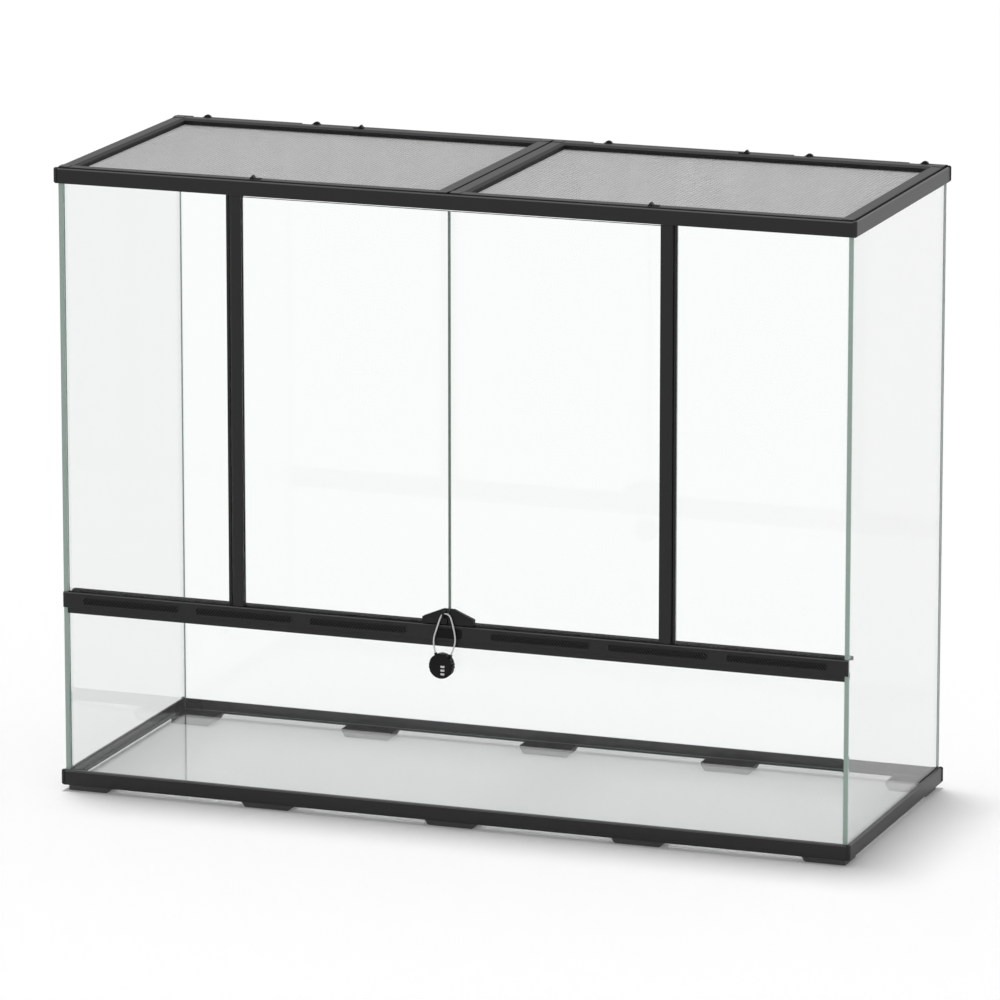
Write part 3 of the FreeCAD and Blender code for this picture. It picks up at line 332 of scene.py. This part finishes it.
def sealant_finish(name, base):
    """Clear silicone, which all but disappears where it wets the glass."""
    finish = Finish(name, {"IOR": 1.04, "Transmission Weight": 1.0})
    cloud = finish.noise(160.0)
    finish.set("Base Color", finish.vary(cloud, base, 0.97, 1.03))
    finish.set("Roughness", finish.between(cloud, 0.0, 0.03))
    return finish.material


def metal_finish(name, base, rough):
    """Turned metal with a fine cloud of tool marks."""
    finish = Finish(name, {"Metallic": 1.0})
    cloud = finish.noise(700.0)
    finish.set("Base Color", finish.vary(cloud, base, 0.85, 1.1))
    finish.set("Roughness", finish.between(cloud, *rough))
    return finish.material


def screen_finish(name, base):
    """Dull galvanised wire, lighter and darker by patches."""
    finish = Finish(name, {"Metallic": 0.9})
    cloud = finish.noise(60.0, 4.0)
    finish.set("Base Color", finish.vary(cloud, base, 0.93, 1.06))
    finish.set("Roughness", finish.between(cloud, 0.45, 0.6))
    return finish.material


def gauze_finish(name, base):
    """Fine gauze whose black is painted shade, standing for the dark inside the vent bar: crossed
    ridges too close to tell apart at arm's length.
    """
    finish = Finish(name, {"Specular IOR Level": 0.2})
    ridges = [finish.node("ShaderNodeTexWave", {"Vector": finish.place["Object"], "Scale": 420.0},
                          bands_direction=axis).outputs["Fac"] for axis in "XZ"]
    weave = finish.math("MAXIMUM", *ridges)
    finish.set("Base Color", finish.vary(weave, base, 0.5, 1.3))
    finish.set("Roughness", finish.between(weave, 0.9, 0.7))
    finish.bump(weave, 0.4)
    return finish.material


def cable_finish(name, base):
    """Stranded wire under a clear sleeve: slanting strands round the cable."""
    finish = Finish(name, {"Metallic": 0.6, "Coat Weight": 0.6, "Coat Roughness": 0.15})
    wound = finish.stretched("UV", (70.0, 6.0, 1.0))
    strands = finish.node("ShaderNodeTexWave", {"Vector": wound, "Scale": 1.0},
                          bands_direction="DIAGONAL").outputs["Fac"]
    finish.set("Base Color", finish.vary(strands, base, 0.75, 1.25))
    finish.set("Roughness", finish.between(strands, 0.45, 0.28))
    finish.bump(strands, 0.35, 0.0003)
    return finish.material


def dress(nodes, material):
    """Gives carried-over solids their finish."""
    for node in nodes:
        slots = frame["nodes"][node].data.materials
        slots.clear()
        slots.append(material)


# Geometry Nodes

class Tree(Nodes):
    """A Geometry Nodes tree with named inputs."""

    def __init__(self, name, inputs):
        super().__init__(bpy.data.node_groups.new(name, "GeometryNodeTree"))
        sockets = self.tree.interface
        self.ids = {each: sockets.new_socket(each, in_out="INPUT", socket_type=kind).identifier
                    for each, kind in inputs.items()}
        sockets.new_socket("Geometry", in_out="OUTPUT", socket_type="NodeSocketGeometry")
        self.given = self.node("NodeGroupInput").outputs

    def vector(self, operation, values, output="Vector"):
        return self.node("ShaderNodeVectorMath", values, operation=operation).outputs[output]

    def dressed(self, geometry, material):
        solid = self.node("GeometryNodeRealizeInstances", {0: geometry}).outputs[0]
        return self.node("GeometryNodeSetMaterial",
                         {"Geometry": solid, "Material": material}).outputs[0]

    def finish(self, geometry):
        self.node("NodeGroupOutput", {0: geometry})


# Each family of a screen's wires, with the edge that it is spread along and the one it runs along
SCREEN_WIRES = (("Warp", "Along", "Across"), ("Fine", "Along", "Across"),
                ("Weft", "Across", "Along"))


def screen_tree():
    """A screen of crossed wires, laid from its low corner."""
    kinds = {"Along": "NodeSocketVector", "Across": "NodeSocketVector", "Sides": "NodeSocketInt"}
    for family, _, _ in SCREEN_WIRES:
        kinds |= {f"{family} Corner": "NodeSocketVector", f"{family} Pitch": "NodeSocketFloat",
                  f"{family} Wire": "NodeSocketFloat", f"{family} Material": "NodeSocketMaterial"}
    made = Tree("wire_screen", kinds)
    given = made.given
    families = []
    for family, spread, run in SCREEN_WIRES:
        pitch = given[f"{family} Pitch"]
        radius = made.math("DIVIDE", given[f"{family} Wire"], 2.0)
        ring = made.node("GeometryNodeCurvePrimitiveCircle",
                         {"Resolution": given["Sides"], "Radius": radius})
        reach = made.vector("LENGTH", {0: given[spread]}, "Value")
        steps = made.math("FLOOR", made.math("DIVIDE", reach, pitch))
        unit = made.vector("NORMALIZE", {0: given[spread]})
        points = made.node("GeometryNodeMeshLine",
                           {"Count": made.math("ADD", steps, 1.0),
                            "Start Location": given[f"{family} Corner"],
                            "Offset": made.vector("SCALE", {0: unit, "Scale": pitch})})
        line = made.node("GeometryNodeCurvePrimitiveLine", {"End": given[run]})
        wire = made.node("GeometryNodeCurveToMesh",
                         {"Curve": line.outputs[0], "Profile Curve": ring.outputs[0],
                          "Fill Caps": True})
        wires = made.node("GeometryNodeInstanceOnPoints",
                          {"Points": points.outputs[0], "Instance": wire.outputs[0]})
        families.append(made.dressed(wires.outputs[0], given[f"{family} Material"]))
    made.finish(made.node("GeometryNodeJoinGeometry", {0: families}).outputs[0])
    return made


# Meshes

def link(name, data):
    piece = bpy.data.objects.new(name, data)
    bpy.context.scene.collection.objects.link(piece)
    return piece


def plain_mesh(piece):
    """The evaluated mesh of an object, which is then removed."""
    bpy.context.view_layer.update()
    graph = bpy.context.evaluated_depsgraph_get()
    mesh = bpy.data.meshes.new_from_object(piece.evaluated_get(graph))
    bpy.data.objects.remove(piece)
    return mesh


def grown(tree, values):
    """The plain mesh that a tree makes with these inputs."""
    seed = link("seed", bpy.data.meshes.new("seed"))
    modifier = seed.modifiers.new("grow", "NODES")
    modifier.node_group = tree.tree
    for name, value in values.items():
        modifier[tree.ids[name]] = value
    return plain_mesh(seed)


def join_meshes(name, meshes):
    """One mesh of several, with the first one's materials."""
    points = []
    faces = []
    for mesh in meshes:
        start = len(points)
        points += [v.co.copy() for v in mesh.vertices]
        faces += [[start + i for i in p.vertices] for p in mesh.polygons]
    joined = bpy.data.meshes.new(name)
    joined.from_pydata(points, [], faces)
    for material in meshes[0].materials:
        joined.materials.append(material)
    for mesh in meshes:
        bpy.data.meshes.remove(mesh)
    return joined


def drawn_in(node, name, material):
    """A piece of the tank in a node's place, a hair smaller: no face lies in a pane's face."""
    mesh = frame["nodes"][node].data.copy()
    corners = {}
    for face in mesh.polygons:
        for index in face.vertices:
            corners.setdefault(mesh.vertices[index].co.copy().freeze(), []).append(face.normal)
    for vertex in mesh.vertices:
        around = corners[vertex.co.copy().freeze()]
        normals = {tuple(round(c, 3) for c in n) for n in around}
        vertex.co -= sum((Vector(n) for n in normals), Vector()) * HAIR
    mesh.materials.clear()
    mesh.materials.append(material)
    piece = link(name, mesh)
    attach(piece, "tank")
    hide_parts(node)


def sizes():
    return bpy.context.scene.terrarium_sizes


def colours():
    return bpy.context.scene.terrarium_colours


# Operators

class TERRARIUM_OT_stage(Operator):
    """Sets up the camera, the light, and a pale floor under white surroundings"""
    bl_idname = "terrarium.stage"
    bl_label = "Stage"

    def execute(self, context):
        scene = context.scene
        scene.view_settings.view_transform = "Standard"
        self.camera(scene)
        self.surround(scene)
        self.floor()
        self.key()
        return {"FINISHED"}

    def camera(self, scene):
        camera = bpy.data.cameras.new("camera")
        camera.lens = CAMERA_LENS
        camera.sensor_width = CAMERA_FILM
        camera.clip_end = 100.0
        eye = link("camera", camera)
        eye.location = CAMERA_PLACE
        aim = Vector(CAMERA_AIM) - eye.location
        eye.rotation_euler = aim.to_track_quat("-Z", "Y").to_euler()
        scene.camera = eye

    def surround(self, scene):
        """A plain grey light all round that the camera, gloss and glass see as white."""
        world = bpy.data.worlds.new("surround")
        world.use_nodes = True
        nodes = Nodes(world.node_tree)
        light = world.node_tree.nodes["Background"].inputs
        nodes.put(light["Color"], (1.0, 1.0, 1.0, 1.0))
        nodes.put(light["Strength"], nodes.between(nodes.background_rays(), 0.5, 1.0))
        scene.world = world

    def floor(self):
        reach = 40.0
        drop = -0.0003
        mesh = bpy.data.meshes.new("floor")
        corners = [(-reach, -reach, drop), (reach, -reach, drop), (reach, reach, drop),
                   (-reach, reach, drop)]
        mesh.from_pydata(corners, [], [(0, 1, 2, 3)])
        finish = Finish("pale_floor", {"Base Color": (0.93, 0.93, 0.93, 1.0), "Roughness": 0.9,
                                       "Specular IOR Level": 0.0,
                                       "Emission Color": (1.0, 1.0, 1.0, 1.0)})
        finish.set("Emission Strength", finish.between(finish.background_rays(), 0.0, 0.10))
        mesh.materials.append(finish.material)
        link("floor", mesh)

    def key(self):
        """A soft light from far off."""
        light = bpy.data.lights.new("key", "SUN")
        light.angle = math.radians(KEY_SPREAD)
        light.energy = KEY_STRENGTH
        lamp = link("key", light)
        lamp.rotation_euler = Vector(KEY_TOWARDS).to_track_quat("Z", "Y").to_euler()


class TERRARIUM_OT_cable(Operator):
    """Hangs the lock's cable on the left handle's eye"""
    bl_idname = "terrarium.cable"
    bl_label = "Lock Cable"

    def execute(self, context):
        diameter = sizes().cable
        line = bpy.data.curves.new("lock_cable_line", "CURVE")
        line.dimensions = "3D"
        line.bevel_depth = diameter / 2
        line.bevel_resolution = 4
        line.use_fill_caps = True
        spline = line.splines.new("NURBS")
        spline.points.add(len(CABLE_ROUTE) - 1)
        for point, (x, z) in zip(spline.points, CABLE_ROUTE):
            point.co = (EYE.x + x, EYE.y, EYE.z + z, 1.0)
        spline.order_u = 3
        spline.use_endpoint_u = True
        spline.resolution_u = 12
        line.materials.append(cable_finish("stranded_cable", colours().steel))
        cable = link("lock_cable_wire", line)
        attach(cable, "padlock")
        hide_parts("lock_cable")
        return {"FINISHED"}


class TERRARIUM_OT_rails(Operator):
    """Finishes the anodised rails, the vent bar, the stiles and the lid frames"""
    bl_idname = "terrarium.rails"
    bl_label = "Rails"

    def execute(self, context):
        tones = colours()
        base = tones.rail
        # The base rails get the lighter copy of the black, as painted light
        for level, tone in (("base", tones.base_rail), ("top", base)):
            dress([f"{level}_{end}_rail" for end in ENDS],
                  rail_finish(f"{level}_rail_along_x", tone, LINES_ALONG_X, rubbed=tones.rubbed))
            dress([f"{level}_{side}_rail" for side in SIDES],
                  rail_finish(f"{level}_rail_along_y", tone, LINES_ALONG_Y, rubbed=tones.rubbed))
        # The bar's rounded upper edge gets the painted highlight, half as light again
        dress(["vent_bar"], rail_finish("bar_along_x", base, LINES_ALONG_X,
                                        matt=("Normal", 0.8, 0.35, 0.9),
                                        rubbed=shade(tones.rubbed, 1.5)))
        dress(["top_crossbar"], rail_finish("crossbar_along_y", base, LINES_ALONG_Y))
        lid_matt = ("Object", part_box("left_lid_cross_rails")[1].z - LID_TOP, 0.62, 0.5)
        dress([f"{side}_lid_cross_rails" for side in SIDES],
              rail_finish("lid_rail_along_x", base, LINES_ALONG_X, matt=lid_matt))
        dress([f"{side}_lid_side_rails" for side in SIDES],
              rail_finish("lid_rail_along_y", base, LINES_ALONG_Y, matt=lid_matt))
        dress([f"{side}_hinge_stile" for side in SIDES],
              rail_finish("rail_upright", base, LINES_ALONG_Z))
        return {"FINISHED"}


class TERRARIUM_OT_fittings(Operator):
    """Finishes the moulded fittings, the strips, the pins and the beads"""
    bl_idname = "terrarium.fittings"
    bl_label = "Fittings"

    def execute(self, context):
        tones = colours()
        latches = [f"{side}_lid_{end}_latch" for side in SIDES for end in ENDS]
        shutters = [f"port_slider_{i}" for i in range(1, PORTS + 1)]
        lid_corners = [f"{side}_lid_corners" for side in SIDES]
        dress(["base_corner_joiners", "top_corner_joiners", "vent_grilles", "hinge_blocks",
               "hinge_bushes"] + lid_corners + latches + shutters,
              moulded_finish("moulded_black", tones.plastic))
        # The feet's lighter tone is partly painted light against the shade near the floor
        dress(["feet"], moulded_finish("foot_black", tones.foot))
        dress([f"{side}_handle" for side in SIDES],
              moulded_finish("handle_black", tones.plastic, gloss=0.22))
        dress(["badge_plate"], plastic_finish("plate_black", shade(tones.plastic, 0.5),
                                              rough=(0.3, 0.4), grain=2600.0, depth=0.06,
                                              gloss=0.12))
        dress(["hinge_seals"], plastic_finish("strip_rubber", tones.rubber, rough=(0.55, 0.7),
                                              grain=900.0, depth=0.1))
        dress([f"{side}_hinge_pins" for side in SIDES] + ["lock_axle"],
              metal_finish("turned_steel", tones.steel, rough=(0.2, 0.32)))
        dress(["lock_ferrules"], metal_finish("blackened_steel", tones.sleeve, rough=(0.35, 0.5)))
        drawn_in("sealant_seams", "sealant_beads",
                 sealant_finish("clear_sealant", tones.sealant))
        return {"FINISHED"}


class TERRARIUM_OT_glass(Operator):
    """Finishes the panes, with clear faces and green cut edges"""
    bl_idname = "terrarium.glass"
    bl_label = "Glass"

    def execute(self, context):
        tones = colours()
        level = tones.level_edge
        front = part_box("left_fixed_pane")[0].y
        dress([f"{side}_pane" for side in SIDES],
              glass_finish("float_glass_x", tones.side_glass, tones.glass_edge, level, 0,
                           clear=(1, "GREATER_THAN", front)))
        upright = glass_finish("float_glass_y", tones.glass, tones.inner_edge, level, 1)
        dress(["right_door_pane"], upright)
        for name in ("left_fixed_pane", "right_fixed_pane", "lower_front_pane", "rear_pane"):
            drawn_in(name, f"{name}_glass", upright)
        dress(["floor_pane"],
              glass_finish("float_glass_z", tones.glass, tones.inner_edge, level, 2))
        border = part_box("left_door_pane")[1].x - GROUND_BORDER
        dress(["left_door_pane"],
              glass_finish("left_door_glass", tones.glass, tones.inner_edge, level, 1,
                           clear=(0, "LESS_THAN", border)))
        return {"FINISHED"}


class TERRARIUM_OT_screens(Operator):
    """Weaves the lids' screens and paints the gauze behind the grilles black, as shade"""
    bl_idname = "terrarium.screens"
    bl_label = "Screens"

    def execute(self, context):
        # Painted shade: the weft and fine wires take a darker copy of the stout wires' steel
        given = sizes()
        painted_lit = screen_finish("bright_wire", colours().warp)
        painted_shaded = screen_finish("dull_wire", colours().weft)
        wires = {"Warp": (given.warp_pitch, given.warp_wire, painted_lit),
                 "Weft": (given.weft_pitch, given.weft_wire, painted_shaded),
                 "Fine": (given.fine_pitch, given.fine_wire, painted_shaded)}
        tree = screen_tree()
        for side in SIDES:
            low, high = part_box(f"{side}_lid_mesh")
            size = high - low
            values = {"Along": (size.x, 0.0, 0.0), "Across": (0.0, size.y, 0.0),
                      "Sides": given.wire_sides}
            for family, (pitch, wire, finish) in wires.items():
                level = low.z + wire / 2 + (0.0 if family == "Weft" else given.weft_wire)
                values |= {f"{family} Corner": (low.x, low.y, level), f"{family} Pitch": pitch,
                           f"{family} Wire": wire, f"{family} Material": finish}
            piece = link(f"{side}_lid_screen", grown(tree, values))
            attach(piece, f"{side}_lid")
            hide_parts(f"{side}_lid_mesh")
        # Painted shade: the gauze behind the grilles is black
        dress(["vent_screens"], gauze_finish("vent_gauze", colours().vent_screen))
        return {"FINISHED"}


class TERRARIUM_OT_lock(Operator):
    """Finishes the lock's case and prints plain numbers on its dials"""
    bl_idname = "terrarium.lock"
    bl_label = "Lock"

    def execute(self, context):
        tones = colours()
        dress(["lock_front_shell", "lock_back_shell"],
              plastic_finish("lock_case", tones.lock, rough=(0.38, 0.5), grain=2400.0, depth=0.1,
                             gloss=0.15))
        white = plastic_finish("dial_white", tones.dial, rough=(0.28, 0.4), grain=2000.0,
                               depth=0.04)
        ink = plastic_finish("dial_ink", tones.ink, rough=(0.4, 0.55), grain=2000.0, depth=0.04)
        for name in DIALS:
            node = f"lock_dial_{name}"
            dress([node], white)
            digits = link(f"{node}_digits", self.digits(node, ink))
            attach(digits, node)
        return {"FINISHED"}

    def digits(self, node, ink):
        """The ten numbers, each on a flat of the dial's rim."""
        low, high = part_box(node)
        middle = (low + high) / 2
        out = (high.y - low.y) / 2 + NUMBER_LIFT
        meshes = []
        for number in range(NUMBERS):
            text = bpy.data.curves.new("digit", "FONT")
            text.body = str(number)
            text.size = sizes().digit * FONT_PER_HEIGHT
            text.align_x = "CENTER"
            text.align_y = "CENTER"
            text.materials.append(ink)
            mesh = plain_mesh(link("digit", text))
            turn = 2 * math.pi * number / NUMBERS
            flat = Vector((math.sin(turn), -math.cos(turn), 0.0)) * out
            aside = Vector((math.cos(turn), math.sin(turn), 0.0))
            for vertex in mesh.vertices:
                across, up, _ = vertex.co
                vertex.co = middle + flat + aside * across + Vector((0.0, 0.0, up))
            meshes.append(mesh)
        return join_meshes(f"{node}_digits", meshes)


class TERRARIUM_PT_panel(Panel):
    """Lists the terrarium's sizes, colours and steps"""
    bl_idname = "TERRARIUM_PT_panel"
    bl_label = "Terrarium"
    bl_space_type = "VIEW_3D"
    bl_region_type = "UI"
    bl_category = "Terrarium"

    def draw(self, context):
        for group in (context.scene.terrarium_sizes, context.scene.terrarium_colours):
            for name in group.__annotations__:
                self.layout.prop(group, name)
        for step in STEPS:
            self.layout.operator(step.bl_idname)


STEPS = (TERRARIUM_OT_stage, TERRARIUM_OT_cable, TERRARIUM_OT_rails, TERRARIUM_OT_fittings,
         TERRARIUM_OT_glass, TERRARIUM_OT_screens, TERRARIUM_OT_lock)
CLASSES = (TerrariumSizes, TerrariumColours) + STEPS + (TERRARIUM_PT_panel,)


def register():
    for cls in CLASSES:
        bpy.utils.register_class(cls)
    bpy.types.Scene.terrarium_sizes = PointerProperty(type=TerrariumSizes)
    bpy.types.Scene.terrarium_colours = PointerProperty(type=TerrariumColours)


def unregister():
    del bpy.types.Scene.terrarium_colours
    del bpy.types.Scene.terrarium_sizes
    for cls in reversed(CLASSES):
        bpy.utils.unregister_class(cls)


def main():
    register()
    for step in STEPS:
        group, name = step.bl_idname.split(".")
        getattr(getattr(bpy.ops, group), name)()


if __name__ == "__main__":
    main()
